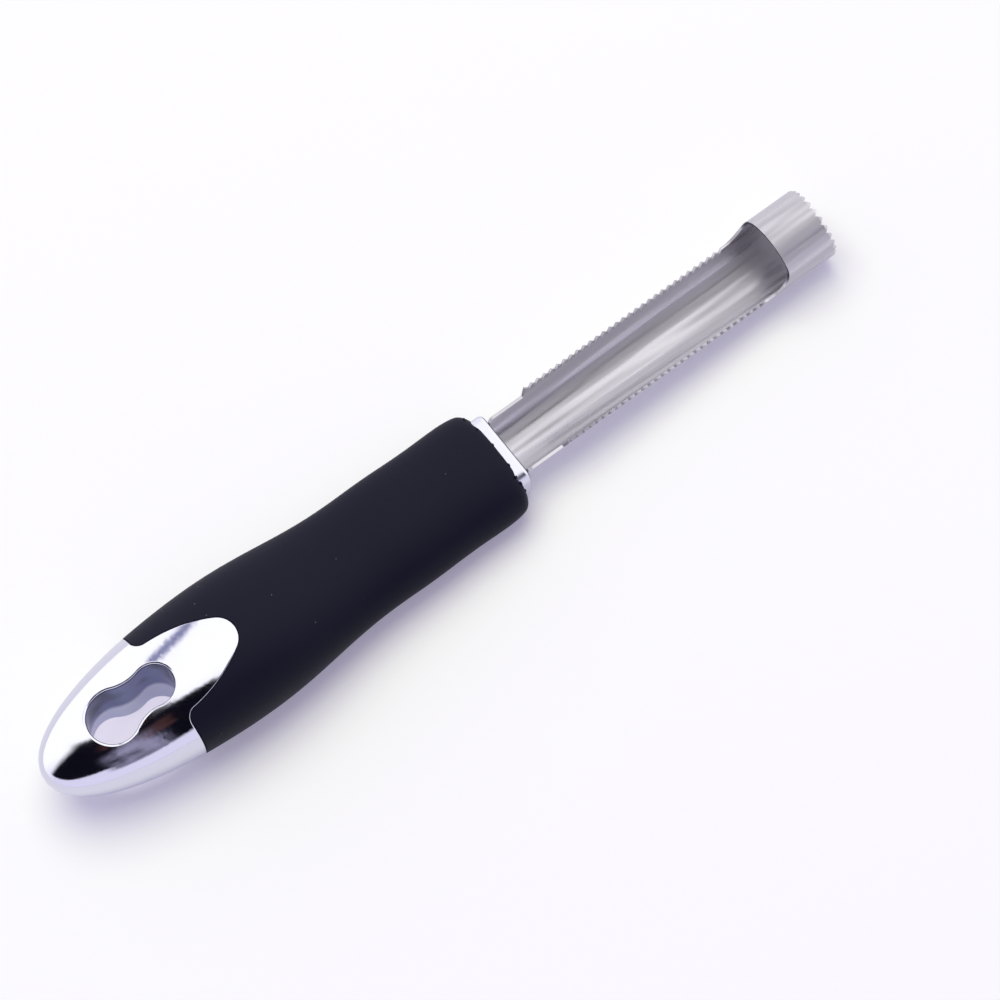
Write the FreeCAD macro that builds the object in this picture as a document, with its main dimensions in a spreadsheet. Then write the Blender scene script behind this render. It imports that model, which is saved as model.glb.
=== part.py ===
import FreeCAD, Part
import math
import os
import Sketcher
from FreeCAD import Placement, Rotation, Vector

# Fruit corer: a toothed trough blade with a cutting ring, a collar, a moulded core, a soft grip
# and a bright end cap with a hang hole. Lengths are in millimetres and angles in degrees.
# Each piece is drawn along the handle's own axis, with X from the tail tip to the blade,
# and then laid down the way the corer rests on a table.

doc = FreeCAD.newDocument("fruit_corer")
sheet = doc.addObject("Spreadsheet::Sheet", "size")

DRIVING = (
    ("handle_length", 134.9, "tail tip to the front end of the grip"),
    ("swell_station", 56.0, "where the handle is widest"),
    ("swell_width", 36.6, ""),
    ("swell_thick", 24.4, ""),
    ("neck_station", 92.5, "where the handle has narrowed"),
    ("neck_width", 31.2, ""),
    ("neck_thick", 16.2, ""),
    ("front_width", 30.2, ""),
    ("front_thick", 15.8, ""),
    ("front_side_round", 4.0, "rounding of the grip's front end, seen from above"),
    ("front_top_round", 1.3, "the same rounding, seen from the side"),
    ("tail_bluntness", 2.2, "2 is a plain ellipse, more is blunter"),
    ("section_fullness", 2.3, "2 is a plain ellipse, more is squarer"),
    ("grip_wall", 2.2, "soft wall over the core, and the cap's tongues beside it"),
    ("grip_end_wall", 3.0, "soft wall in front of the core"),
    ("seam_station", 35.2, "where cap and grip meet at the sides"),
    ("tongue_tip", 57.2, "how far forward the cap's two tongues reach"),
    ("tongue_width", 20.6, ""),
    ("tongue_tip_round", 5.6, ""),
    ("tongue_foot_round", 2.8, ""),
    ("seam_gap", 0.12, "clearance between cap and grip"),
    ("lip_round", 0.35, "rounded edge of the cap along the seam"),
    ("plug_length", 6.0, "the cap's plug inside the grip"),
    ("spigot_length", 12.0, "the cap's spigot in the core's pocket"),
    ("spigot_width", 14.0, ""),
    ("spigot_thick", 9.0, ""),
    ("spigot_corner", 1.5, ""),
    ("spigot_gap", 0.1, "clearance round the spigot"),
    ("hang_rear_station", 21.2, "centre of the hang hole's large lobe"),
    ("hang_rear_round", 6.7, ""),
    ("hang_pitch", 12.0, "large lobe to small lobe"),
    ("hang_front_round", 5.2, ""),
    ("hang_waist_round", 10.0, "hollow curve between the lobes"),
    ("hang_rim_round", 0.6, ""),
    ("collar_width", 21.2, ""),
    ("collar_height", 12.0, ""),
    ("collar_corner", 2.8, ""),
    ("collar_show", 2.8, "length that stands out of the grip"),
    ("collar_wall", 1.0, ""),
    ("collar_face", 1.2, "thickness of the collar's front"),
    ("collar_edge_round", 1.1, ""),
    ("collar_gap", 0.05, "clearance round the collar, inside and outside"),
    ("slot_gap", 0.2, "clearance round the tang in the collar's front"),
    ("sheet_thick", 0.7, "stainless sheet of the blade"),
    ("tube_diameter", 19.0, "outside of the trough and of the cutting ring"),
    ("blade_drop", 1.9, "underside of the trough below the handle's axis"),
    ("blade_reach", 94.0, "collar to cutting rim"),
    ("root_gap", 0.35, "collar to the rear edge of the trough"),
    ("root_round", 1.6, "rear corners of the trough"),
    ("plain_length", 11.0, "trough edge without teeth"),
    ("plain_wrap", 65.0, "angle from the floor of the trough to its plain edge"),
    ("tooth_wrap", 78.0, "angle from the floor of the trough to the tips of the teeth"),
    ("shoulder_run", 1.3, "slope from the plain edge up to the teeth"),
    ("tooth_pitch", 2.0, ""),
    ("tooth_depth", 1.1, ""),
    ("ring_length", 14.0, "closed tube at the tip"),
    ("ring_sweep", 7.0, "curve from the toothed edge up to the ring"),
    ("rim_notches", 24, "notches round the cutting rim"),
    ("rim_notch_depth", 1.3, ""),
    ("rim_notch_width", 1.9, ""),
    ("rim_bevel", 0.4, "ground bevel outside the cutting rim"),
    ("tang_length", 62.0, "behind the collar's front"),
    ("tang_width", 11.0, ""),
    ("tang_hole", 4.0, "keying holes that the core's plastic fills"),
    ("tang_hole_pitch", 22.0, ""),
)

# Values that follow from the driving sizes. A name on the left may use those above it.
DERIVED = (
    ("tongue_half", "tongue_width / 2"),
    ("tip_centre", "tongue_tip - tongue_tip_round"),
    ("flank_round", "((tip_centre - seam_station) ^ 2 + tongue_half ^ 2 - tongue_tip_round ^ 2)"
                    " / (2 * (tongue_half - tongue_tip_round))"),
    ("core_back", "seam_station + plug_length"),
    ("core_front", "handle_length - grip_end_wall"),
    ("collar_front", "handle_length + collar_show"),
    ("tube_round", "tube_diameter / 2"),
    ("plain_height", "-tube_round * cos(plain_wrap * 1deg)"),
    ("tooth_height", "-tube_round * cos(tooth_wrap * 1deg)"),
    ("tang_height", "-sqrt(tube_round ^ 2 - (tang_width / 2) ^ 2)"),
    ("ring_start", "blade_reach - ring_length"),
    ("teeth_start", "plain_length + shoulder_run"),
    ("tooth_count", "floor((ring_start - ring_sweep - teeth_start) / tooth_pitch)"),
)


def fill_sheet():
    for row, (alias, number, note) in enumerate(DRIVING, start=1):
        sheet.set(f"A{row}", alias)
        sheet.set(f"B{row}", str(number))
        sheet.set(f"C{row}", note)
        sheet.setAlias(f"B{row}", alias)
    for row, (alias, formula) in enumerate(DERIVED, start=len(DRIVING) + 1):
        sheet.set(f"A{row}", alias)
        sheet.set(f"B{row}", "=" + formula)
        sheet.setAlias(f"B{row}", alias)
        doc.recompute()


def value(formula):
    """A formula over the sheet's names, such as 'size.collar_width / 2', as a number."""
    return float(sheet.evalExpression(formula))


def size(alias):
    return value("size." + alias)


def bind(thing, **formulas):
    """Tie properties of an object to formulas over the sheet."""
    for name, formula in formulas.items():
        thing.setExpression(name, formula)


# Sketches

def origin_plane(body, role):
    return [part for part in body.Origin.OriginFeatures if part.Role == role][0]


def new_sketch(body, role, name, offset=None):
    """A sketch on one of the body's own origin planes, moved along the plane's normal if asked."""
    sketch = body.newObject("Sketcher::SketchObject", name)
    sketch.AttachmentSupport = (origin_plane(body, role), [""])
    sketch.MapMode = "FlatFace"
    if offset:
        sketch.setExpression("AttachmentOffset.Base.z", offset)
    return sketch


def hold(sketch, kind, geometry, point, formula):
    """Fix a distance from the sketch's origin to a point by a formula."""
    number = value(formula)
    index = sketch.addConstraint(Sketcher.Constraint(kind, -1, 1, geometry, point, number))
    sketch.setExpression(f"Constraints[{index}]", formula)


def hold_round(sketch, geometry, formula):
    index = sketch.addConstraint(Sketcher.Constraint("Radius", geometry, value(formula)))
    sketch.setExpression(f"Constraints[{index}]", formula)


def round_corner(sketch, first, second, formula):
    """Round the corner where two neighbouring lines or arcs of a sketch meet."""
    before, after = sketch.Geometry[first], sketch.Geometry[second]
    near_end = before.value(before.LastParameter * 0.9 + before.FirstParameter * 0.1)
    near_start = after.value(after.FirstParameter * 0.9 + after.LastParameter * 0.1)
    sketch.fillet(first, second, near_end, near_start, value(formula), True, True)
    arc = max(i for i, item in enumerate(sketch.Geometry) if isinstance(item, Part.ArcOfCircle))
    hold_round(sketch, arc, formula)


def draw_outline(sketch, corners):
    """A closed outline of straight runs. Each corner is (x, y) or (x, y, rounding) in formulas."""
    spots = [Vector(value(corner[0]), value(corner[1]), 0) for corner in corners]
    count = len(corners)
    for index, spot in enumerate(spots):
        sketch.addGeometry(Part.LineSegment(spot, spots[(index + 1) % count]), False)
    for index in range(count):
        after = (index + 1) % count
        sketch.addConstraint(Sketcher.Constraint("Coincident", index, 2, after, 1))
    for index, corner in enumerate(corners):
        hold(sketch, "DistanceX", index, 1, corner[0])
        hold(sketch, "DistanceY", index, 1, corner[1])
    for index, corner in enumerate(corners):
        if len(corner) == 3:
            round_corner(sketch, (index - 1) % count, index, corner[2])


def draw_box(sketch, width, height, rounding=None):
    """A rectangle centred on the sketch's origin, with its four corners rounded if asked."""
    right, top = f"({width}) / 2", f"({height}) / 2"
    left, bottom = "-" + right, "-" + top
    corners = [(left, bottom), (right, bottom), (right, top), (left, top)]
    draw_outline(sketch, [corner + (rounding,) for corner in corners] if rounding else corners)


def draw_circle(sketch, across, up, radius):
    spot = Vector(value(across), value(up), 0)
    index = sketch.addGeometry(Part.Circle(spot, Vector(0, 0, 1), value(radius)), False)
    hold(sketch, "DistanceX", index, 3, across)
    hold(sketch, "DistanceY", index, 3, up)
    hold_round(sketch, index, radius)


# The handle's form

def half_size(station, what, inset=0.0):
    """Half the width or half the thickness of the handle at a station along it."""
    swell, neck, front = (size(f"{place}_{what}") / 2 for place in ("swell", "neck", "front"))
    widest, narrowed, end = size("swell_station"), size("neck_station"), size("handle_length")
    if station <= widest:
        power = size("tail_bluntness")
        half = swell * (1 - (1 - station / widest) ** power) ** (1 / power)
    elif station <= narrowed:
        run = (station - widest) / (narrowed - widest)
        half = swell + (neck - swell) * run * run * (3 - 2 * run)
    else:
        run = (station - narrowed) / (end - narrowed)
        half = neck + (front - neck) * run * run
    return half - inset


def oval_wire(station, half_width, half_thick, points=20):
    """A cross section: an oval that is a little fuller than an ellipse."""
    fullness = size("section_fullness")
    spots = []
    for index in range(points):
        turn = 2 * math.pi * index / points
        across = abs(math.cos(turn) / half_width) ** fullness
        upward = abs(math.sin(turn) / half_thick) ** fullness
        reach = (across + upward) ** (-1 / fullness)
        spots.append(Vector(station, reach * math.cos(turn), reach * math.sin(turn)))
    curve = Part.BSplineCurve()
    curve.interpolate(Points=spots, PeriodicFlag=True)
    return Part.Wire(curve.toShape())


def between(start, end, count):
    return [start + (end - start) * index / count for index in range(count + 1)]


def outer_form_shape(tail_sections=9, body_sections=7, end_sections=4):
    """The whole handle as one smooth solid, from the round tail to the rounded front."""
    widest, end = size("swell_station"), size("handle_length")
    side_round, top_round = size("front_side_round"), size("front_top_round")
    sections = [Part.Vertex(0, 0, 0)]
    for turn in between(0, math.pi / 2, tail_sections)[1:]:
        station = widest * (1 - math.cos(turn) ** (2 / size("tail_bluntness")))
        sections.append(oval_wire(station, half_size(station, "width"), half_size(station, "thick")))
    for station in between(widest, end - side_round, body_sections)[1:]:
        sections.append(oval_wire(station, half_size(station, "width"), half_size(station, "thick")))
    for turn in between(0, math.pi / 2, end_sections)[1:]:
        station = end - side_round * (1 - math.sin(turn))
        drawn_in = 1 - math.cos(turn)
        half_width = half_size(station, "width", side_round * drawn_in)
        half_thick = half_size(station, "thick", top_round * drawn_in)
        sections.append(oval_wire(station, half_width, half_thick))
    return Part.makeLoft(sections, True)


def inner_form_shape(sections=8):
    """The space inside the soft wall, which the core and the cap's plug fill."""
    wall = size("grip_wall")
    stations = between(size("seam_station") - wall, size("core_front"), sections)
    return Part.makeLoft([oval_wire(station, half_size(station, "width", wall),
                                    half_size(station, "thick", wall)) for station in stations], True)


def form(name, shape, pose):
    feature = doc.addObject("Part::Feature", name)
    feature.Shape = shape
    feature.Placement = pose
    return feature


# How the corer rests: nose down, on the grip's swell and on its front end

def resting_pose():
    end = size("handle_length") - size("front_side_round")
    end_half = half_size(end, "thick")
    slope, touch = max(((half_size(station, "thick") - end_half) / (end - station), station)
                       for station in between(size("swell_station"), size("neck_station"), 200))
    angle = math.atan(slope)
    lift = (half_size(touch, "thick") + touch * slope) * math.cos(angle)
    tip = size("collar_front") + size("blade_reach")
    ring_top = size("tube_diameter") - size("blade_drop")
    middle = (tip * math.cos(angle) + ring_top * math.sin(angle)) / 2
    return Placement(Vector(-middle, 0, lift), Rotation(Vector(0, 1, 0), math.degrees(angle)))


def along(pose, x=0.0, y=0.0, z=0.0):
    """The resting pose of something whose own origin lies at x, y, z in the handle."""
    return pose.multiply(Placement(Vector(x, y, z), Rotation()))


# Simple solids and booleans

def pad_or_pocket(body, kind, sketch, length, side="Symmetric", turned=False):
    feature = body.newObject("PartDesign::" + kind, f"{sketch.Name}_{kind.lower()}")
    feature.Profile = sketch
    feature.SideType = side
    feature.Reversed = turned
    bind(feature, Length=length)
    doc.recompute()
    return feature


def bar(name, pose, start, end, width, height, rounding=None):
    """A bar along the handle's axis from one station to another, with rounded corners if asked."""
    body = doc.addObject("PartDesign::Body", name)
    body.Placement = pose
    sketch = new_sketch(body, "YZ_Plane", name + "_outline", start)
    draw_box(sketch, width, height, rounding)
    pad_or_pocket(body, "Pad", sketch, f"{end} - ({start})", "One side")
    return body


def combine(kind, name, base, tool):
    """Common, Cut or Fuse of two solids, with the long smooth surfaces left as they are."""
    solid = doc.addObject("Part::" + kind, name)
    solid.Base, solid.Tool, solid.Refine = base, tool, False
    doc.recompute()
    return solid


def faces_only(solid):
    return Part.Compound(solid.Shape.Faces)


def rim_edges(shape, walls, outside):
    """The edges where an outer surface is cut by the walls of another solid."""
    found = []
    for index, edge in enumerate(shape.Edges, start=1):
        if edge.Length < 1e-3:
            continue
        spot = Part.Vertex(edge.valueAt((edge.FirstParameter + edge.LastParameter) / 2))
        if walls.distToShape(spot)[0] < 1e-3 and outside.distToShape(spot)[0] < 1e-3:
            found.append(index)
    return found


def round_rim(name, base, walls, outside, rounding):
    solid = doc.addObject("Part::Fillet", name)
    solid.Base = base
    radius = value(rounding)
    edges = rim_edges(base.Shape, faces_only(walls), faces_only(outside))
    solid.Edges = [(index, radius, radius) for index in edges]
    doc.recompute()
    return solid


# The bell-shaped seam between cap and grip

def seam_prism(name, pose, gap):
    """Everything behind the seam, grown by a gap: a block with one round-nosed tongue."""
    body = doc.addObject("PartDesign::Body", name)
    body.Placement = pose
    sketch = new_sketch(body, "XY_Plane", name + "_outline")
    base, far_side, behind = f"size.seam_station + {gap}", "size.swell_width", "-size.seam_station"
    flank, centre = f"size.flank_round + {gap}", "(size.tongue_half - size.flank_round)"
    radius, side, top, back = (value(formula) for formula in (flank, base, far_side, behind))
    foot_turn = math.acos(value(gap) / radius)
    tip_turn = math.asin(-value(centre) / radius)
    foot = value(centre) + radius * math.sin(foot_turn)
    corners = [Vector(side, foot), Vector(side, top), Vector(back, top),
               Vector(back, -top), Vector(side, -top), Vector(side, -foot)]
    upper = Part.Circle(Vector(size("seam_station"), value(centre)), Vector(0, 0, 1), radius)
    lower = Part.Circle(Vector(size("seam_station"), -value(centre)), Vector(0, 0, 1), radius)
    sketch.addGeometry(Part.ArcOfCircle(upper, tip_turn, foot_turn), False)
    for start, end in zip(corners, corners[1:]):
        sketch.addGeometry(Part.LineSegment(start, end), False)
    sketch.addGeometry(Part.ArcOfCircle(lower, -foot_turn, -tip_turn), False)
    upper_flank, lower_flank = 0, len(corners)
    upper_base, lower_base = 1, len(corners) - 1
    for first in range(lower_flank + 1):
        second = (first + 1) % (lower_flank + 1)
        sketch.addConstraint(Sketcher.Constraint("Coincident", first, 2, second, 1))
    for arc, up in ((upper_flank, centre), (lower_flank, "-" + centre)):
        hold(sketch, "DistanceX", arc, 3, "size.seam_station")
        hold(sketch, "DistanceY", arc, 3, up)
        hold_round(sketch, arc, flank)
    for line, across, up in ((1, base, far_side), (2, behind, far_side),
                             (3, behind, "-" + far_side), (4, base, "-" + far_side)):
        hold(sketch, "DistanceX", line, 2, across)
        hold(sketch, "DistanceY", line, 2, up)
    sketch.addConstraint(Sketcher.Constraint("Vertical", upper_base))
    sketch.addConstraint(Sketcher.Constraint("Vertical", lower_base))
    round_corner(sketch, lower_flank, upper_flank, f"size.tongue_tip_round + {gap}")
    round_corner(sketch, upper_flank, upper_base, f"size.tongue_foot_round - {gap}")
    round_corner(sketch, lower_base, lower_flank, f"size.tongue_foot_round - {gap}")
    pad_or_pocket(body, "Pad", sketch, "2 * size.swell_thick")
    return body


# The hang hole: two round lobes joined by a waist with hollow sides

def hang_hole(pose):
    body = doc.addObject("PartDesign::Body", "hang_hole")
    body.Placement = pose
    rear, front = "size.hang_rear_station", "size.hang_rear_station + size.hang_pitch"
    to_rear = "(size.hang_rear_round + size.hang_waist_round)"
    to_front = "(size.hang_front_round + size.hang_waist_round)"
    run = f"(({to_rear} ^ 2 - {to_front} ^ 2 + size.hang_pitch ^ 2) / (2 * size.hang_pitch))"
    centre, side = f"{rear} + {run}", f"sqrt({to_rear} ^ 2 - {run} ^ 2)"
    web = new_sketch(body, "XY_Plane", "hang_web")
    draw_outline(web, [(rear, "0"), (centre, "-" + side), (front, "0"), (centre, side)])
    pad_or_pocket(body, "Pad", web, "2 * size.swell_thick")
    for name, kind, across, up, radius in (
            ("hang_waist_left", "Pocket", centre, side, "size.hang_waist_round"),
            ("hang_waist_right", "Pocket", centre, "-" + side, "size.hang_waist_round"),
            ("hang_rear_lobe", "Pad", rear, "0", "size.hang_rear_round"),
            ("hang_front_lobe", "Pad", front, "0", "size.hang_front_round")):
        sketch = new_sketch(body, "XY_Plane", name)
        draw_circle(sketch, across, up, radius)
        pad_or_pocket(body, kind, sketch, "2 * size.swell_thick")
    return body


# The pieces

ROOM = "2 * size.swell_width"


def core_room(inner, pose):
    """The part of the inner form that belongs to the core."""
    front_side = bar("core_side", pose, "size.core_back", "size.handle_length", ROOM, ROOM)
    return combine("Common", "core_form", inner, front_side)


def make_end_cap(outer, inner, core_form, pose):
    """Bright cap: the tail, a tongue above and below the core, and a plug and spigot inside."""
    prism, hole = seam_prism("cap_side", pose, "0"), hang_hole(pose)
    bell = combine("Common", "cap_bell", outer, prism)
    bell = round_rim("cap_lip", bell, prism, outer, "size.lip_round")
    plug_side = bar("plug_side", pose, "size.seam_station - size.grip_wall / 2",
                    "size.core_back - size.spigot_gap", ROOM, ROOM)
    plug = combine("Common", "cap_plug", inner, plug_side)
    spigot = bar("cap_spigot", pose, "size.core_back - size.plug_length / 2",
                 "size.core_back + size.spigot_length",
                 "size.spigot_width", "size.spigot_thick", "size.spigot_corner")
    inside = combine("Fuse", "cap_inside", plug, spigot)
    tongues = combine("Cut", "cap_tongues", bell, core_form)
    solid = combine("Fuse", "cap_solid", tongues, inside)
    solid = combine("Cut", "cap_with_hole", solid, hole)
    return round_rim("end_cap", solid, hole, outer, "size.hang_rim_round")


def make_soft_grip(outer, inner, pose):
    """Soft sleeve: closed round the collar in front, cut to the bell seam behind."""
    behind_seam = seam_prism("grip_seam", pose, "size.seam_gap")
    passage = bar("collar_passage", pose, "size.core_front - size.grip_end_wall",
                  "size.handle_length + size.grip_end_wall",
                  "size.collar_width + 2 * size.collar_gap", "size.collar_height + 2 * size.collar_gap",
                  "size.collar_corner + size.collar_gap")
    solid = combine("Cut", "grip_before_seam", outer, behind_seam)
    solid = combine("Cut", "grip_sleeve", solid, inner)
    return combine("Cut", "soft_grip", solid, passage)


def make_inner_core(core_form, blade, pose):
    """Plastic core moulded round the tang: it fills the tang's holes and the collar."""
    nose = bar("core_nose", pose, "size.core_front - size.grip_end_wall",
               "size.collar_front - size.collar_face - size.collar_gap",
               "size.collar_width - 2 * size.collar_wall - 2 * size.collar_gap",
               "size.collar_height - 2 * size.collar_wall - 2 * size.collar_gap",
               "size.collar_corner - size.collar_wall")
    pocket = bar("spigot_pocket", pose, "size.core_back - size.spigot_gap",
                 "size.core_back + size.spigot_length + size.spigot_gap",
                 "size.spigot_width + 2 * size.spigot_gap", "size.spigot_thick + 2 * size.spigot_gap",
                 "size.spigot_corner + size.spigot_gap")
    solid = combine("Fuse", "core_with_nose", core_form, nose)
    solid = combine("Cut", "core_with_pocket", solid, pocket)
    return combine("Cut", "inner_core", solid, blade)


def make_front_collar(pose):
    """Bright collar: a rounded box that stands on the core's shoulder and shows in front of the grip."""
    collar = doc.addObject("PartDesign::Body", "front_collar")
    collar.Placement = pose
    outside = new_sketch(collar, "YZ_Plane", "collar_outline", "size.core_front")
    draw_box(outside, "size.collar_width", "size.collar_height", "size.collar_corner")
    pad = pad_or_pocket(collar, "Pad", outside, "size.collar_front - size.core_front", "One side")
    front = [f"Edge{index}" for index, edge in enumerate(pad.Shape.Edges, start=1)
             if all(abs(vertex.X - size("collar_front")) < 1e-6 for vertex in edge.Vertexes)]
    soft_edge = collar.newObject("PartDesign::Fillet", "collar_front_edge")
    soft_edge.Base = (pad, front)
    bind(soft_edge, Radius="size.collar_edge_round")
    doc.recompute()
    cavity = new_sketch(collar, "YZ_Plane", "collar_cavity", "size.core_front")
    draw_box(cavity, "size.collar_width - 2 * size.collar_wall",
             "size.collar_height - 2 * size.collar_wall", "size.collar_corner - size.collar_wall")
    pad_or_pocket(collar, "Pocket", cavity, "size.collar_front - size.core_front - size.collar_face",
                  "One side", True)
    slot = new_sketch(collar, "YZ_Plane", "tang_slot", "size.core_front")
    draw_tang_slot(slot)
    pad_or_pocket(collar, "Pocket", slot, "2 * size.handle_length", "One side", True)
    return collar


def draw_tang_slot(sketch):
    """The curved section of the tang, grown by its clearance."""
    centre = "size.tube_round - size.blade_drop"
    side = "size.tang_width / 2 + size.slot_gap"
    rounds = ("size.tube_round + size.slot_gap", "size.tube_round - size.sheet_thick - size.slot_gap")
    below, above = [], []
    for formula, ends in zip(rounds, (below, above)):
        radius = value(formula)
        spread = math.asin(value(side) / radius)
        circle = Part.Circle(Vector(0, value(centre)), Vector(0, 0, 1), radius)
        arc = Part.ArcOfCircle(circle, -math.pi / 2 - spread, -math.pi / 2 + spread)
        ends += [arc.StartPoint, arc.EndPoint]
        index = sketch.addGeometry(arc, False)
        hold(sketch, "DistanceX", index, 3, "0")
        hold(sketch, "DistanceY", index, 3, centre)
        hold_round(sketch, index, formula)
    for point, corner in enumerate(zip(below, above)):
        line = sketch.addGeometry(Part.LineSegment(*corner), False)
        for arc, end in ((0, 1), (1, 2)):
            sketch.addConstraint(Sketcher.Constraint("Coincident", line, end, arc, point + 1))
        sketch.addConstraint(Sketcher.Constraint("Vertical", line))
        hold(sketch, "DistanceX", line, 1, "-(" + side + ")" if point == 0 else side)


def make_blade(pose):
    """One stainless sheet: tang, open trough with toothed edges, and closed cutting ring."""
    blade = doc.addObject("PartDesign::Body", "blade")
    blade.Placement = along(pose, size("collar_front"), 0, size("tube_round") - size("blade_drop"))
    through = "2 * size.tube_diameter"

    wall = new_sketch(blade, "XZ_Plane", "blade_wall")
    inside = "size.tube_round - size.sheet_thick"
    draw_outline(wall, [("-size.tang_length", inside), ("size.blade_reach", inside),
                        ("size.blade_reach", "size.tube_round - size.rim_bevel"),
                        ("size.blade_reach - 2 * size.rim_bevel", "size.tube_round"),
                        ("-size.tang_length", "size.tube_round")])
    tube = blade.newObject("PartDesign::Revolution", "blade_tube")
    tube.Profile = wall
    tube.ReferenceAxis = (wall, ["H_Axis"])
    tube.Angle = 360
    doc.recompute()

    opening = new_sketch(blade, "XZ_Plane", "trough_opening")
    top, behind = "size.tube_diameter", "-size.tang_length - size.root_round"
    draw_outline(opening, [(behind, top), (behind, "size.tang_height"),
                           ("size.root_gap", "size.tang_height", "size.root_gap"),
                           ("size.root_gap", "size.plain_height", "size.root_round"),
                           ("size.plain_length", "size.plain_height"),
                           ("size.teeth_start", "size.tooth_height"),
                           ("size.ring_start", "size.tooth_height", "size.ring_sweep"),
                           ("size.ring_start", top)])
    pad_or_pocket(blade, "Pocket", opening, through)

    notch = new_sketch(blade, "XZ_Plane", "tooth_notch")
    over = "size.tooth_height + size.tooth_depth"
    after = "size.teeth_start + size.tooth_pitch"
    draw_outline(notch, [("size.teeth_start", "size.tooth_height"),
                         ("size.teeth_start + size.tooth_pitch / 2", "size.tooth_height - size.tooth_depth"),
                         (after, "size.tooth_height"), (after, over), ("size.teeth_start", over)])
    first_tooth = pad_or_pocket(blade, "Pocket", notch, through)
    teeth = blade.newObject("PartDesign::LinearPattern", "teeth")
    teeth.Originals = [first_tooth]
    teeth.Direction = (notch, ["H_Axis"])
    teeth.Mode = "Spacing"
    bind(teeth, Offset="size.tooth_pitch", Occurrences="size.tooth_count")
    blade.Tip = teeth
    doc.recompute()

    rim_notch = new_sketch(blade, "XY_Plane", "rim_notch")
    past, half = "size.blade_reach + size.rim_notch_depth", "size.rim_notch_width"
    draw_outline(rim_notch, [("size.blade_reach - size.rim_notch_depth", "0"),
                             (past, half), (past, "-" + half)])
    first_notch = pad_or_pocket(blade, "Pocket", rim_notch, "size.tube_diameter", "One side")
    rim = blade.newObject("PartDesign::PolarPattern", "rim_teeth")
    rim.Originals = [first_notch]
    rim.Axis = (rim_notch, ["H_Axis"])
    rim.Angle = 360
    bind(rim, Occurrences="size.rim_notches")
    blade.Tip = rim
    doc.recompute()

    keys = new_sketch(blade, "XY_Plane", "tang_holes")
    first_hole = "-size.tang_length + size.tang_width"
    for across in (first_hole, first_hole + " + size.tang_hole_pitch"):
        draw_circle(keys, across, "0", "size.tang_hole / 2")
    pad_or_pocket(blade, "Pocket", keys, through)
    return blade


def failed(thing):
    return any(word in state for state in thing.State for word in ("Invalid", "Error"))


def write_pieces(pieces):
    """Write each piece under its own name, once everything has built well."""
    broken = [thing.Name for thing in doc.Objects if failed(thing)]
    for name, piece in pieces.items():
        piece.Label = name
        if piece.Shape.isNull() or not piece.Shape.isValid() or len(piece.Shape.Solids) != 1:
            broken.append(name)
    if broken:
        raise RuntimeError("failed: " + ", ".join(broken))
    os.makedirs("parts", exist_ok=True)
    for name, piece in pieces.items():
        piece.Shape.exportStep(f"parts/{name}.step")
        box = piece.Shape.optimalBoundingBox()
        print(f"{name}: {piece.Shape.Volume / 1000:.2f} cm3, {box.XLength:.1f} x {box.YLength:.1f} x "
              f"{box.ZLength:.1f} mm, lowest point {box.ZMin:.2f} mm")


def main():
    fill_sheet()
    pose = resting_pose()
    outer = form("outer_form", outer_form_shape(), pose)
    inner = form("inner_form", inner_form_shape(), pose)
    core_form = core_room(inner, pose)
    blade = make_blade(pose)
    pieces = {
        "blade": blade,
        "front_collar": make_front_collar(pose),
        "inner_core": make_inner_core(core_form, blade, pose),
        "soft_grip": make_soft_grip(outer, inner, pose),
        "end_cap": make_end_cap(outer, inner, core_form, pose),
    }
    doc.recompute()
    write_pieces(pieces)


main()
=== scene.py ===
import math

import bmesh
import bpy
from mathutils import Matrix, Vector, noise


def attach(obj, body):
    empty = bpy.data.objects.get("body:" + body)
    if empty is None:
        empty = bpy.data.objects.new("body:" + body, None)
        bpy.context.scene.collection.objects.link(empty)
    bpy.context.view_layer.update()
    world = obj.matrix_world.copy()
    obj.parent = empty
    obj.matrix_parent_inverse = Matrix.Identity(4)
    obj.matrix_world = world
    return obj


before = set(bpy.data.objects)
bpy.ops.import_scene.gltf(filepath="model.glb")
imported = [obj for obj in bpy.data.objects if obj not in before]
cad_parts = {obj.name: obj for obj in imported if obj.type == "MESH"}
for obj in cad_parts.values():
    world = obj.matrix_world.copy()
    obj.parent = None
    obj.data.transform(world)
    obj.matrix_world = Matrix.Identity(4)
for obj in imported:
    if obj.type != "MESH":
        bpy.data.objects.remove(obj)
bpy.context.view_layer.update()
mm = 0.001
bladeAxis = (0.9983, 0, -0.0581)  # the way the blade points: at rest it slopes down a little


def hexColour(text):
    # sRGB hex as a colour picker shows it, turned to the linear values that Blender works in
    parts = [int(text[i:i + 2], 16) / 255 for i in (1, 3, 5)]
    linear = [c / 12.92 if c <= 0.04045 else ((c + 0.055) / 1.055) ** 2.4 for c in parts]
    return (*linear, 1.0)


def addNode(tree, kind, settings=None, inputs=None):
    # settings are the node's own values, inputs its sockets, each given a number, a colour
    # or another node's output
    node = tree.nodes.new(kind)
    for name, value in (settings or {}).items():
        setattr(node, name, value)
    for name, value in (inputs or {}).items():
        if isinstance(value, bpy.types.NodeSocket):
            tree.links.new(value, node.inputs[name])
        else:
            node.inputs[name].default_value = value
    return node


def emptyMaterial(name):
    material = bpy.data.materials.new(name)
    material.use_nodes = True
    material.node_tree.nodes.clear()
    return material, material.node_tree


def dress(name, material):
    # a CAD node keeps its mesh and only gets a better finish
    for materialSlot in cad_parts[name].material_slots:
        materialSlot.material = material


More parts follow.
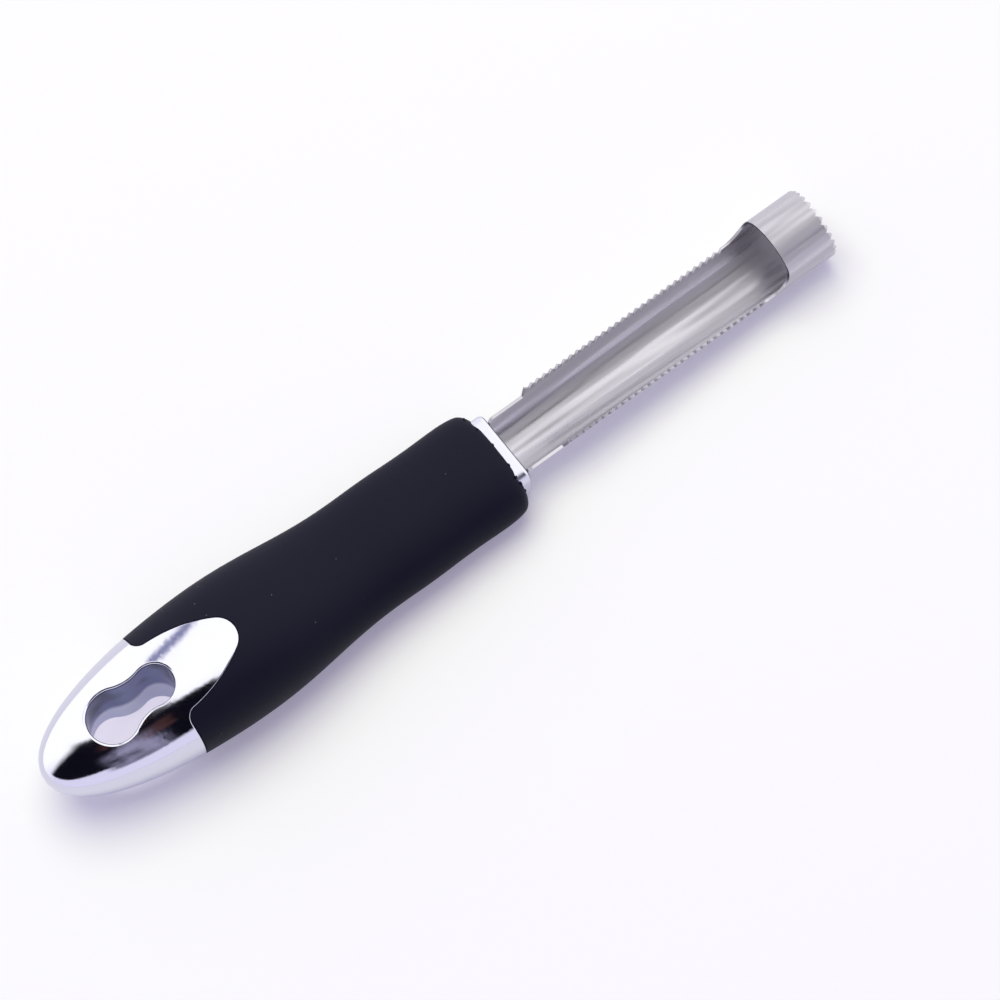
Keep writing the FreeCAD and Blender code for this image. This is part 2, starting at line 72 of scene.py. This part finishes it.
# Bright chrome plate on ABS: moulded in a polished mould, then coated with copper, nickel and chrome.
# The eye gets a full mirror whose reflections waver a little, as moulded faces do. The walls of the
# hang hole are painted darker and bluer than the outside: a painted shade and painted reflection of
# the dark room.
chromeCap = {
    "colour": "#DFDFEA",
    "roughness": 0.065,
    "waverSpacing": 12.0,      # mm between the slow waves of the polish
    "waverHeight": 0.004,      # mm
    "smearSpacing": 9.0,       # mm between the places where it has been handled
    "smearFrom": 0.45,         # of the noise, where a smear starts
    "smearFull": 0.75,
    "smearRoughness": 0.11,
    "holeMiddle": -89.0,       # mm along X
    "holeReach": 13.5,         # mm to either end
    "holeSide": 7.4,           # mm to either side
    "holeEdge": 1.15,          # of that oval, where the look of the walls starts
    "holeInside": 1.05,        # and where it is full
    "wallSloped": 0.45,        # how level a face is where it starts to count as a wall
    "wallUpright": 0.25,       # and where it is one fully
    "wallDeepColour": "#D6D8EE",
    # painted shade and painted reflection of the dark room on the hole's walls
    "wallShadeColour": "#363A5C",
    "wallShadeFrom": 10.5,       # mm, the height at which the painted shade on the walls starts
    "wallShadeFull": 12.5,       # mm
    "wallReflectionColour": "#7478A6",
    "wallReflectionSpacing": 10.0,  # mm
    "wallReflectionFrom": 0.45,     # of the noise, where a paler patch of painted reflection starts
    "wallReflectionFull": 0.65,
    "wallRoughness": 0.09,
    "frontShadeColour": "#2A2830",
    "frontShade": 0.0,          # how dark the painted shade on the edges that look forward is
    "frontFrom": 0.62,         # how squarely an edge looks forward where the dark starts
    "frontFull": 0.8,
    "frontLast": 0.96,         # past this it fades again
    "frontFlat": 0.995,        # and the flat front face is as bright as the rest
}


def platedChrome(name, look):
    material, tree = emptyMaterial(name)
    place = addNode(tree, "ShaderNodeTexCoord").outputs["Object"]
    normal = addNode(tree, "ShaderNodeNewGeometry").outputs["Normal"]
    waver = addNode(tree, "ShaderNodeTexNoise", {}, {
        "Vector": place, "Scale": 1 / (look["waverSpacing"] * mm), "Detail": 1.0, "Roughness": 0.4})
    bump = addNode(tree, "ShaderNodeBump", {}, {
        "Strength": 1.0, "Distance": look["waverHeight"] * mm, "Height": waver.outputs["Fac"]})
    smear = addNode(tree, "ShaderNodeTexNoise", {}, {
        "Vector": place, "Scale": 1 / (look["smearSpacing"] * mm), "Detail": 5.0, "Roughness": 0.6})
    smearRange = addNode(tree, "ShaderNodeMapRange", {}, {
        "Value": smear.outputs["Fac"],
        "From Min": look["smearFrom"], "From Max": look["smearFull"],
        "To Min": look["roughness"], "To Max": look["smearRoughness"]})

    # the hole's walls: upright surface inside an oval round the hole
    oval = addNode(tree, "ShaderNodeMapping", {"vector_type": "TEXTURE"}, {
        "Vector": place, "Location": (look["holeMiddle"] * mm, 0, 0),
        "Scale": (look["holeReach"] * mm, look["holeSide"] * mm, 1000)})
    reach = addNode(tree, "ShaderNodeVectorMath", {"operation": "LENGTH"}, {
        0: oval.outputs["Vector"]})
    inside = addNode(tree, "ShaderNodeMapRange", {}, {
        "Value": reach.outputs["Value"],
        "From Min": look["holeEdge"], "From Max": look["holeInside"]})
    facing = addNode(tree, "ShaderNodeVectorMath", {"operation": "DOT_PRODUCT"}, {
        0: normal, 1: (0, 0, 1)})
    level = addNode(tree, "ShaderNodeMath", {"operation": "ABSOLUTE"}, {0: facing.outputs["Value"]})
    upright = addNode(tree, "ShaderNodeMapRange", {}, {
        "Value": level.outputs["Value"],
        "From Min": look["wallSloped"], "From Max": look["wallUpright"]})
    wall = addNode(tree, "ShaderNodeMath", {"operation": "MULTIPLY"}, {
        0: inside.outputs["Result"], 1: upright.outputs["Result"]}).outputs["Value"]

    # painted shade: they are painted darker towards the top, with paler patches of painted reflection
    # there
    height = addNode(tree, "ShaderNodeVectorMath", {"operation": "DOT_PRODUCT"}, {
        0: place, 1: (0, 0, 1 / mm)})
    rise = addNode(tree, "ShaderNodeMapRange", {}, {
        "Value": height.outputs["Value"],
        "From Min": look["wallShadeFrom"], "From Max": look["wallShadeFull"]})
    patch = addNode(tree, "ShaderNodeTexNoise", {}, {
        "Vector": place, "Scale": 1 / (look["wallReflectionSpacing"] * mm), "Detail": 1.0})
    wallReflectionMask = addNode(tree, "ShaderNodeMapRange", {"interpolation_type": "SMOOTHSTEP"}, {
        "Value": patch.outputs["Fac"],
        "From Min": look["wallReflectionFrom"], "From Max": look["wallReflectionFull"]})
    topShadeAndReflection = addNode(tree, "ShaderNodeMix", {"data_type": "RGBA"}, {
        0: wallReflectionMask.outputs["Result"],
        6: hexColour(look["wallShadeColour"]), 7: hexColour(look["wallReflectionColour"])})
    paintedWallColour = addNode(tree, "ShaderNodeMix", {"data_type": "RGBA"}, {
        0: rise.outputs["Result"],
        6: hexColour(look["wallDeepColour"]), 7: topShadeAndReflection.outputs[2]})
    holed = addNode(tree, "ShaderNodeMix", {"data_type": "RGBA"}, {
        0: wall, 6: hexColour(look["colour"]), 7: paintedWallColour.outputs[2]})

    # painted shade on the edges that look forward, without the flat face between them
    ahead = addNode(tree, "ShaderNodeVectorMath", {"operation": "DOT_PRODUCT"}, {
        0: normal, 1: bladeAxis})
    frontShadeEdge = addNode(tree, "ShaderNodeMapRange", {}, {
        "Value": ahead.outputs["Value"],
        "From Min": look["frontFrom"], "From Max": look["frontFull"], "To Max": look["frontShade"]})
    frontFace = addNode(tree, "ShaderNodeMapRange", {}, {
        "Value": ahead.outputs["Value"],
        "From Min": look["frontFlat"], "From Max": look["frontLast"]})
    front = addNode(tree, "ShaderNodeMath", {"operation": "MULTIPLY"}, {
        0: frontShadeEdge.outputs["Result"], 1: frontFace.outputs["Result"]})

    # painted shade mixed in on the edges that look forward
    colour = addNode(tree, "ShaderNodeMix", {"data_type": "RGBA"}, {
        0: front.outputs["Value"], 6: holed.outputs[2], 7: hexColour(look["frontShadeColour"])})
    rough = addNode(tree, "ShaderNodeMix", {"data_type": "FLOAT"}, {
        0: wall, 2: smearRange.outputs["Result"], 3: look["wallRoughness"]})
    shader = addNode(tree, "ShaderNodeBsdfPrincipled", {}, {
        "Base Color": colour.outputs[2], "Metallic": 1.0,
        "Roughness": rough.outputs[0], "Normal": bump.outputs["Normal"]})
    addNode(tree, "ShaderNodeOutputMaterial", {}, {"Surface": shader.outputs["BSDF"]})
    return material


dress("end_cap", platedChrome("platedChromeCap", chromeCap))
# The collar has the same plate on a duller moulding, and the edge round its front face is painted
# dark, a painted shade of the gap where the blade goes in.
chromeCollar = {**chromeCap, "roughness": 0.3, "smearRoughness": 0.36, "frontShade": 1.0}
dress("front_collar", platedChrome("platedChromeCollar", chromeCollar))
print("chrome cap and collar dressed")

# Soft-touch rubber moulded over the core: a matte, faintly blue black with a fine spark-eroded grain.
softGrip = {
    "colour": "#0D0D1D",
    "paleColour": "#111124",
    "roughness": 0.54,
    "ior": 1.5,
    "specular": 0.15,
    "grainSpacing": 0.35,      # mm, the mould's grain, drawn a little coarse so that it shows
    "grainHeight": 0.012,      # mm
    "cloudSpacing": 30.0,      # mm, slow changes of tone from handling
    "dustSpacing": 4.5,        # mm between specks of dust
    "dustSize": 0.035,         # share of that spacing
    "dustFull": 0.6,           # share of a speck that has its full colour
    "dustColour": "#6A6A78",
}


def softRubber(name, look):
    material, tree = emptyMaterial(name)
    place = addNode(tree, "ShaderNodeTexCoord").outputs["Object"]
    grain = addNode(tree, "ShaderNodeTexNoise", {}, {
        "Vector": place, "Scale": 1 / (look["grainSpacing"] * mm), "Detail": 2.0, "Roughness": 0.5})
    bump = addNode(tree, "ShaderNodeBump", {}, {
        "Strength": 1.0, "Distance": look["grainHeight"] * mm, "Height": grain.outputs["Fac"]})
    cloud = addNode(tree, "ShaderNodeTexNoise", {}, {
        "Vector": place, "Scale": 1 / (look["cloudSpacing"] * mm), "Detail": 3.0, "Roughness": 0.55})
    tone = addNode(tree, "ShaderNodeMix", {"data_type": "RGBA"}, {
        0: cloud.outputs["Fac"], 6: hexColour(look["colour"]), 7: hexColour(look["paleColour"])})
    speck = addNode(tree, "ShaderNodeTexVoronoi", {"feature": "F1"}, {
        "Vector": place, "Scale": 1 / (look["dustSpacing"] * mm), "Randomness": 1.0})
    speckMask = addNode(tree, "ShaderNodeMapRange", {}, {
        "Value": speck.outputs["Distance"],
        "From Min": look["dustSize"], "From Max": look["dustSize"] * look["dustFull"]})
    dusted = addNode(tree, "ShaderNodeMix", {"data_type": "RGBA"}, {
        0: speckMask.outputs["Result"], 6: tone.outputs[2], 7: hexColour(look["dustColour"])})
    shader = addNode(tree, "ShaderNodeBsdfPrincipled", {}, {
        "Base Color": dusted.outputs[2], "Roughness": look["roughness"], "IOR": look["ior"],
        "Specular IOR Level": look["specular"], "Normal": bump.outputs["Normal"]})
    addNode(tree, "ShaderNodeOutputMaterial", {}, {"Surface": shader.outputs["BSDF"]})
    return material


gripRubber = softRubber("softTouchRubber", softGrip)
dress("soft_grip", gripRubber)

# Crumbs of flash that the trimmer left along the grip's mouth: each a place and a size, in mm.
mouthFlash = {
    "crumbs": (
        ((17.62, 11.45, 12.64), 0.36),
        ((18.40, 6.87, 14.12), 0.28),
        ((18.80, 1.31, 14.42), 0.34),
        ((18.80, -5.16, 13.98), 0.36),
        ((18.30, -8.62, 13.64), 0.42),
        ((18.42, -10.18, 12.58), 0.38),
        ((18.52, -11.54, 10.10), 0.34),
    ),
    "divisions": 3,            # of the ball that each starts from
    "stretch": (0.9, 1.5, 1.0),
    "turn": 1.3,               # radians from one crumb to the next
    "ragged": 0.3,             # how far the skin goes in and out, as a share of the size
    "raggedScale": 3,          # how fine that is, per mm
    "noiseStep": 7.0,          # from one crumb to the next, so that no two are alike
}


def raggedCrumbs(look):
    shape = bmesh.new()
    for count, (spot, size) in enumerate(look["crumbs"]):
        turned = Matrix.Rotation(count * look["turn"], 4, "X") @ Matrix.Diagonal((*look["stretch"], 1))
        made = bmesh.ops.create_icosphere(shape, subdivisions=look["divisions"], radius=size * mm)
        step = Vector((count * look["noiseStep"], 0, 0))
        for vertex in made["verts"]:
            push = noise.noise(vertex.co / mm * look["raggedScale"] + step)
            vertex.co = turned @ (vertex.co * (1 + look["ragged"] * push)) + Vector(spot) * mm
    mesh = bpy.data.meshes.new("mouthFlash")
    shape.to_mesh(mesh)
    shape.free()
    mesh.shade_smooth()
    crumbs = bpy.data.objects.new("mouthFlash", mesh)
    bpy.context.scene.collection.objects.link(crumbs)
    return crumbs


flash = raggedCrumbs(mouthFlash)
flash.data.materials.append(gripRubber)
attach(flash, "root")
print("soft grip dressed")

# Nylon with glass fibre, moulded round the tang: a plain dark grey that shows only in the gaps.
mouldedCore = {
    "colour": "#2B2B31",
    "roughness": 0.5,
    "ior": 1.53,
    "grainSpacing": 0.8,       # mm, the matt skin of the mould
    "grainHeight": 0.01,       # mm
}


def mouldedNylon(name, look):
    material, tree = emptyMaterial(name)
    place = addNode(tree, "ShaderNodeTexCoord").outputs["Object"]
    grain = addNode(tree, "ShaderNodeTexNoise", {}, {
        "Vector": place, "Scale": 1 / (look["grainSpacing"] * mm), "Detail": 2.0})
    bump = addNode(tree, "ShaderNodeBump", {}, {
        "Strength": 1.0, "Distance": look["grainHeight"] * mm, "Height": grain.outputs["Fac"]})
    shader = addNode(tree, "ShaderNodeBsdfPrincipled", {}, {
        "Base Color": hexColour(look["colour"]), "Roughness": look["roughness"],
        "IOR": look["ior"], "Normal": bump.outputs["Normal"]})
    addNode(tree, "ShaderNodeOutputMaterial", {}, {"Surface": shader.outputs["BSDF"]})
    return material


dress("inner_core", mouldedNylon("mouldedNylon", mouldedCore))
print("core dressed")

# Stainless steel strip, rolled and bent to a trough, then belt polished along its length. The eye
# gets a bright metal that blurs what it reflects across the grain into long light and dark bands.
# The edges that face along the blade are as the shears left them, duller, and painted darker as well:
# a painted shade like the dark line in the gap where the blade meets the collar.
steelBlade = {
    "colour": "#CFCCD1",
    "roughness": 0.25,
    "hazyRoughness": 0.6,
    "hazyFrom": 0.35,          # of the ridges' noise, where the haze starts
    "hazyFull": 0.65,
    "acrossGrain": 0.75,       # how much more the metal blurs across the grain than along it
    "blurTurn": 0.25,          # of a turn, from the grain to the way it blurs
    "grainSpacing": 0.16,      # mm between polishing lines, drawn a little coarse so that they show
    "grainLength": 14.0,       # mm
    "grainHeight": 0.0004,     # mm
    "rollSpacing": 2.4,        # mm between the low ridges that rolling and bending leave
    "rollHeight": 0.1,         # mm
    # darker colour of the end-on edges: partly their duller sheared steel, partly painted shade
    "shearedShadeColour": "#4C4A50",
    "shearedRoughness": 0.5,
    "shearedFrom": 0.8,        # how squarely an edge faces along the blade where that starts
    "shearedFull": 0.95,
}


def polishedSteel(name, look):
    material, tree = emptyMaterial(name)
    place = addNode(tree, "ShaderNodeTexCoord").outputs["Object"]
    normal = addNode(tree, "ShaderNodeNewGeometry").outputs["Normal"]
    grain = addNode(tree, "ShaderNodeCombineXYZ", {}, dict(zip("XYZ", bladeAxis)))
    along = addNode(tree, "ShaderNodeMapping", {}, {
        "Vector": place, "Scale": (look["grainSpacing"] / look["grainLength"], 1.0, 1.0)})
    lines = addNode(tree, "ShaderNodeTexNoise", {}, {
        "Vector": along.outputs["Vector"], "Scale": 1 / (look["grainSpacing"] * mm), "Detail": 3.0})
    ridges = addNode(tree, "ShaderNodeTexNoise", {}, {
        "Vector": along.outputs["Vector"], "Scale": 1 / (look["rollSpacing"] * mm), "Detail": 1.0})
    rolled = addNode(tree, "ShaderNodeBump", {}, {
        "Strength": 1.0, "Distance": look["rollHeight"] * mm, "Height": ridges.outputs["Fac"]})
    bump = addNode(tree, "ShaderNodeBump", {}, {
        "Strength": 1.0, "Distance": look["grainHeight"] * mm, "Height": lines.outputs["Fac"],
        "Normal": rolled.outputs["Normal"]})
    rough = addNode(tree, "ShaderNodeMapRange", {}, {
        "Value": ridges.outputs["Fac"],
        "From Min": look["hazyFrom"], "From Max": look["hazyFull"],
        "To Min": look["roughness"], "To Max": look["hazyRoughness"]})

    facing = addNode(tree, "ShaderNodeVectorMath", {"operation": "DOT_PRODUCT"}, {
        0: normal, 1: bladeAxis})
    endOn = addNode(tree, "ShaderNodeMath", {"operation": "ABSOLUTE"}, {0: facing.outputs["Value"]})
    shearedAndShaded = addNode(tree, "ShaderNodeMapRange", {}, {
        "Value": endOn.outputs["Value"],
        "From Min": look["shearedFrom"], "From Max": look["shearedFull"]}).outputs["Result"]
    # painted shade on the end-on edges, which are also really rougher
    colour = addNode(tree, "ShaderNodeMix", {"data_type": "RGBA"}, {
        0: shearedAndShaded, 6: hexColour(look["colour"]), 7: hexColour(look["shearedShadeColour"])})
    roughAll = addNode(tree, "ShaderNodeMix", {"data_type": "FLOAT"}, {
        0: shearedAndShaded, 2: rough.outputs["Result"], 3: look["shearedRoughness"]})
    shader = addNode(tree, "ShaderNodeBsdfPrincipled", {}, {
        "Base Color": colour.outputs[2], "Metallic": 1.0, "Roughness": roughAll.outputs[0],
        "Anisotropic": look["acrossGrain"], "Anisotropic Rotation": look["blurTurn"],
        "Tangent": grain.outputs["Vector"], "Normal": bump.outputs["Normal"]})
    addNode(tree, "ShaderNodeOutputMaterial", {}, {"Surface": shader.outputs["BSDF"]})
    return material


dress("blade", polishedSteel("polishedStainless", steelBlade))
print("blade dressed")


def compass(degrees):
    # the level direction at an angle from +Y towards +X
    return (math.sin(math.radians(degrees)), math.cos(math.radians(degrees)), 0.0)


# The studio: a pale table, one large soft lamp from the far side, and a soft room around.
studio = {
    "floorSize": 4.0,          # m
    "floorColour": "#F8FCF4",
    "liftColour": "#F1EAFF",
    "lift": 0.26,              # share of that colour that the camera sees
    "mirroredColour": "#CFCBEA",
    "mirroredLift": 0.35,      # share of that colour in what bright metal mirrors of the table
    "underHolePaintedLight": 0.7,      # painted light: the small patch of table in the hang hole is lifted further towards white
    "underHole": -89.0,        # mm along X
    "underHoleReach": 17.0,    # mm to either end
    "underHoleSide": 11.0,     # mm to either side
    "underHoleEdge": 1.2,      # of that oval, where the patch starts
    "underHoleInside": 0.8,    # and where it is full
    "keyTurn": 14.0,           # degrees from +Y towards +X
    "keyHeight": 72.0,         # degrees above the table
    "keyDistance": 3.2,        # m
    "keySize": 3.2,            # m
    "keyPower": 90.0,          # W
    "keyColour": "#F8FACC",
    "fillColour": "#C8BEF7",
    "fillStrength": 0.83,
    "fillNear": 0.35,          # share of it that comes from the side away from the lamp
    "fillFar": 1.5,            # and from the lamp's side
    "backdropColour": "#FCFAFE",
}


def paleTable(name, look):
    # the camera sees it lifted towards white, as overexposed, but still with the shadow on it
    material, tree = emptyMaterial(name)
    place = addNode(tree, "ShaderNodeTexCoord").outputs["Object"]
    ray = addNode(tree, "ShaderNodeLightPath")
    table = addNode(tree, "ShaderNodeBsdfDiffuse", {}, {"Color": hexColour(look["floorColour"])})
    tint = addNode(tree, "ShaderNodeMix", {"data_type": "RGBA"}, {
        0: ray.outputs["Is Glossy Ray"],
        6: hexColour(look["liftColour"]), 7: hexColour(look["mirroredColour"])})
    glow = addNode(tree, "ShaderNodeEmission", {}, {"Color": tint.outputs[2], "Strength": 1.0})
    # painted light: a brighter patch of table under the hang hole, for the camera only
    oval = addNode(tree, "ShaderNodeMapping", {"vector_type": "TEXTURE"}, {
        "Vector": place, "Location": (look["underHole"] * mm, 0, 0),
        "Scale": (look["underHoleReach"] * mm, look["underHoleSide"] * mm, 1)})
    reach = addNode(tree, "ShaderNodeVectorMath", {"operation": "LENGTH"}, {
        0: oval.outputs["Vector"]})
    cameraLiftAndHoleLight = addNode(tree, "ShaderNodeMapRange", {}, {
        "Value": reach.outputs["Value"],
        "From Min": look["underHoleEdge"], "From Max": look["underHoleInside"],
        "To Min": look["lift"], "To Max": look["underHolePaintedLight"]})
    mirroredLift = addNode(tree, "ShaderNodeMath", {"operation": "MULTIPLY"}, {
        0: ray.outputs["Is Glossy Ray"], 1: look["mirroredLift"]})
    lift = addNode(tree, "ShaderNodeMath", {"operation": "MULTIPLY_ADD"}, {
        0: ray.outputs["Is Camera Ray"], 1: cameraLiftAndHoleLight.outputs["Result"],
        2: mirroredLift.outputs["Value"]})
    shown = addNode(tree, "ShaderNodeMixShader", {}, {
        0: lift.outputs["Value"], 1: table.outputs["BSDF"], 2: glow.outputs["Emission"]})
    addNode(tree, "ShaderNodeOutputMaterial", {}, {"Surface": shown.outputs["Shader"]})
    return material


floorMesh = bpy.data.meshes.new("floor")
floorShape = bmesh.new()
bmesh.ops.create_grid(floorShape, x_segments=1, y_segments=1, size=studio["floorSize"] / 2)
floorShape.to_mesh(floorMesh)
floorShape.free()
floorMesh.materials.append(paleTable("paleTable", studio))
floor = bpy.data.objects.new("floor", floorMesh)
bpy.context.scene.collection.objects.link(floor)

keyLight = bpy.data.lights.new("key", "AREA")
keyLight.shape = "DISK"
keyLight.size = studio["keySize"]
keyLight.energy = studio["keyPower"]
keyLight.color = hexColour(studio["keyColour"])[:3]
key = bpy.data.objects.new("key", keyLight)
keyHeight = math.radians(studio["keyHeight"])
key.location = studio["keyDistance"] * (
    Vector(compass(studio["keyTurn"])) * math.cos(keyHeight) + Vector((0, 0, math.sin(keyHeight))))
key.rotation_euler = (-key.location).to_track_quat("-Z", "Y").to_euler()
key.visible_glossy = False
bpy.context.scene.collection.objects.link(key)

# What bright metal mirrors: white diffusers all round, a dark room on the near side with grey and
# brownish things in it, a pale lilac wall below that, and on the far side the narrow gap between
# two diffusers. A patch is a row of sides, and each side is an axis and the two heights along it
# between which the patch fades in.
mirrored = {
    "white": "#FFFFFF",
    "whiteStrength": 1.35,
    "lilac": "#D4D2E4",
    "dark": "#0A0A12",
    "brown": "#4A302C",
    "soot": "#34323E",
    "smear": "#8E8AA2",
    "gap": "#7E7EA0",
    "waver": 0.02,             # how far the edges of the patches bend in and out
    "waverScale": 4.0,
    "lilacWall": ((compass(-150), -0.1, 0.45),),
    "darkRoom": (
        ((0.7, 0.7, 0), 0.02, -0.05),
        ((0, 1, -0.12), 0.30, 0.17),
        ((0, 0.45, 1), 0.30, 0.40),
    ),
    "darkCorner": (
        ((0.7, 0.7, 0), 0.02, -0.05),
        ((1, 0, 0), -0.46, -0.32),
        ((0, 0, 1), 0.42, 0.56),
    ),
    "greySmear": (
        ((1, 0, 0), -0.44, -0.26),
        ((1, 0, 0), -0.05, -0.14),
        ((0, 1, 0), -0.14, -0.38),
    ),
    "brownThings": (
        (
            ((1, 0, 0), -0.17, -0.11),
            ((1, 0, 0), 0.01, -0.02),
            ((0, 1, 0), -0.50, -0.40),
            ((0, 1, 0), -0.16, -0.26),
        ),
        (
            ((-0.19, -0.01, 0.98), 0.984, 0.995),
        ),
    ),
    "diffuserGap": (
        ((0, 1, 0), 0.15, 0.40),
        ((0, 0, 1), 0.96, 0.90),
    ),
    "gapAcross": (-0.93, 0.335, -0.16),  # the direction across the gap
    "gapEdge": 0.06,           # half its width
    "gapInside": 0.01,
    "streakScale": (9.0, 3.0, 3.0),
    "smearFrom": 0.25,         # of the streaks' noise, from soot to pale smear
    "smearFull": 0.62,
    "thinFrom": 0.3,           # of the same noise, from full brown to the little that is left of it
    "thinFull": 0.55,
    "thinLeft": 0.35,
}


def allSides(tree, direction, sides, start):
    # 1 inside all of the sides, faded at each
    product = start
    for axis, outside, inside in sides:
        reach = addNode(tree, "ShaderNodeVectorMath", {"operation": "DOT_PRODUCT"}, {
            0: direction, 1: axis})
        side = addNode(tree, "ShaderNodeMapRange", {"interpolation_type": "SMOOTHSTEP"}, {
            "Value": reach.outputs["Value"], "From Min": outside, "From Max": inside})
        product = addNode(tree, "ShaderNodeMath", {"operation": "MULTIPLY"}, {
            0: product, 1: side.outputs["Result"]}).outputs["Value"]
    return product


def mirroredRoom(tree, direction, look):
    # the colour that metal mirrors from each direction
    waver = addNode(tree, "ShaderNodeTexNoise", {}, {
        "Vector": direction, "Scale": look["waverScale"], "Detail": 3.0})
    centred = addNode(tree, "ShaderNodeVectorMath", {"operation": "SUBTRACT"}, {
        0: waver.outputs["Color"], 1: (0.5, 0.5, 0.5)})
    bent = addNode(tree, "ShaderNodeVectorMath", {"operation": "MULTIPLY_ADD"}, {
        0: centred.outputs["Vector"], 1: (look["waver"],) * 3, 2: direction}).outputs["Vector"]

    across = addNode(tree, "ShaderNodeVectorMath", {"operation": "DOT_PRODUCT"}, {
        0: direction, 1: look["gapAcross"]})
    narrow = addNode(tree, "ShaderNodeMath", {"operation": "ABSOLUTE"}, {0: across.outputs["Value"]})
    stripe = addNode(tree, "ShaderNodeMapRange", {"interpolation_type": "SMOOTHSTEP"}, {
        "Value": narrow.outputs["Value"],
        "From Min": look["gapEdge"], "From Max": look["gapInside"]})

    room = allSides(tree, bent, look["darkRoom"], 1.0)
    corner = allSides(tree, bent, look["darkCorner"], 1.0)
    darkAll = addNode(tree, "ShaderNodeMath", {"operation": "MAXIMUM"}, {
        0: room, 1: corner}).outputs["Value"]

    streaks = addNode(tree, "ShaderNodeMapping", {}, {
        "Vector": direction, "Scale": look["streakScale"]})
    patches = addNode(tree, "ShaderNodeTexNoise", {}, {
        "Vector": streaks.outputs["Vector"], "Scale": 1.0, "Detail": 4.0})
    cloudy = addNode(tree, "ShaderNodeMapRange", {"interpolation_type": "SMOOTHSTEP"}, {
        "Value": patches.outputs["Fac"],
        "From Min": look["smearFrom"], "From Max": look["smearFull"]})
    sooty = addNode(tree, "ShaderNodeMix", {"data_type": "RGBA"}, {
        0: cloudy.outputs["Result"], 6: hexColour(look["soot"]), 7: hexColour(look["smear"])})
    thin = addNode(tree, "ShaderNodeMapRange", {}, {
        "Value": patches.outputs["Fac"],
        "From Min": look["thinFrom"], "From Max": look["thinFull"],
        "To Min": 1.0, "To Max": look["thinLeft"]})
    streaky = addNode(tree, "ShaderNodeMath", {"operation": "MULTIPLY"}, {
        0: darkAll, 1: thin.outputs["Result"]}).outputs["Value"]

    layers = [
        (allSides(tree, bent, look["lilacWall"], 1.0), hexColour(look["lilac"])),
        (allSides(tree, bent, look["diffuserGap"], stripe.outputs["Result"]), hexColour(look["gap"])),
        (room, hexColour(look["dark"])),
        (corner, hexColour(look["dark"])),
        (allSides(tree, bent, look["greySmear"], darkAll), sooty.outputs[2]),
    ]
    for thing in look["brownThings"]:
        layers.append((allSides(tree, bent, thing, streaky), hexColour(look["brown"])))
    seen = hexColour(look["white"])
    for mask, colour in layers:
        seen = addNode(tree, "ShaderNodeMix", {"data_type": "RGBA"}, {
            0: mask, 6: seen, 7: colour}).outputs[2]
    return seen


def softRoom(name, look, mirrorLook):
    # soft light for the object, the mirrored room for bright metal, and a plain backdrop
    world = bpy.data.worlds.new(name)
    world.use_nodes = True
    tree = world.node_tree
    tree.nodes.clear()
    direction = addNode(tree, "ShaderNodeTexCoord").outputs["Generated"]
    ray = addNode(tree, "ShaderNodeLightPath")
    towardsLamp = addNode(tree, "ShaderNodeVectorMath", {"operation": "DOT_PRODUCT"}, {
        0: direction, 1: compass(look["keyTurn"])})
    strength = addNode(tree, "ShaderNodeMapRange", {}, {
        "Value": towardsLamp.outputs["Value"], "From Min": -1.0, "From Max": 1.0,
        "To Min": look["fillNear"] * look["fillStrength"],
        "To Max": look["fillFar"] * look["fillStrength"]})
    room = addNode(tree, "ShaderNodeBackground", {}, {
        "Color": hexColour(look["fillColour"]), "Strength": strength.outputs["Result"]})
    mirror = addNode(tree, "ShaderNodeBackground", {}, {
        "Color": mirroredRoom(tree, direction, mirrorLook), "Strength": mirrorLook["whiteStrength"]})
    backdrop = addNode(tree, "ShaderNodeBackground", {}, {
        "Color": hexColour(look["backdropColour"]), "Strength": 1.0})
    mixed = addNode(tree, "ShaderNodeMixShader", {}, {
        0: ray.outputs["Is Glossy Ray"],
        1: room.outputs["Background"], 2: mirror.outputs["Background"]})
    shown = addNode(tree, "ShaderNodeMixShader", {}, {
        0: ray.outputs["Is Camera Ray"],
        1: mixed.outputs["Shader"], 2: backdrop.outputs["Background"]})
    addNode(tree, "ShaderNodeOutputWorld", {}, {"Surface": shown.outputs["Shader"]})
    return world


bpy.context.scene.world = softRoom("softRoom", studio, mirrored)

# The camera stands where the photograph was taken from: it looks steeply down on the table.
view = {
    "turn": 21.42,             # degrees from +Y towards +X
    "down": 69.27,             # degrees below the horizon
    "roll": -16.45,            # degrees
    "lookAt": (12.31, -9.60, 10.0),  # mm, the point in the middle of the picture
    "distance": 1595.4,        # mm
    "focal": 6603.0,           # focal length, where the picture is 1000 wide
    "pictureWidth": 1000,
    "sensorWidth": 36,         # mm
    "clipEnd": 20,             # m
}

turn, down, roll = (math.radians(view[name]) for name in ("turn", "down", "roll"))
forward = Vector(compass(view["turn"])) * math.cos(down) + Vector((0, 0, -math.sin(down)))
right = Vector((math.cos(turn), -math.sin(turn), 0))
up = right.cross(forward)
right, up = (
    right * math.cos(roll) + up * math.sin(roll),
    up * math.cos(roll) - right * math.sin(roll))
cameraData = bpy.data.cameras.new("camera")
cameraData.sensor_width = view["sensorWidth"]
cameraData.lens = view["focal"] * cameraData.sensor_width / view["pictureWidth"]
cameraData.clip_end = view["clipEnd"]
camera = bpy.data.objects.new("camera", cameraData)
standpoint = Vector(view["lookAt"]) * mm - forward * view["distance"] * mm
camera.matrix_world = (
    Matrix.Translation(standpoint) @ Matrix((right, up, -forward)).transposed().to_4x4())
bpy.context.scene.collection.objects.link(camera)
bpy.context.scene.camera = camera
bpy.context.scene.view_settings.view_transform = "Standard"
print("studio and camera set")
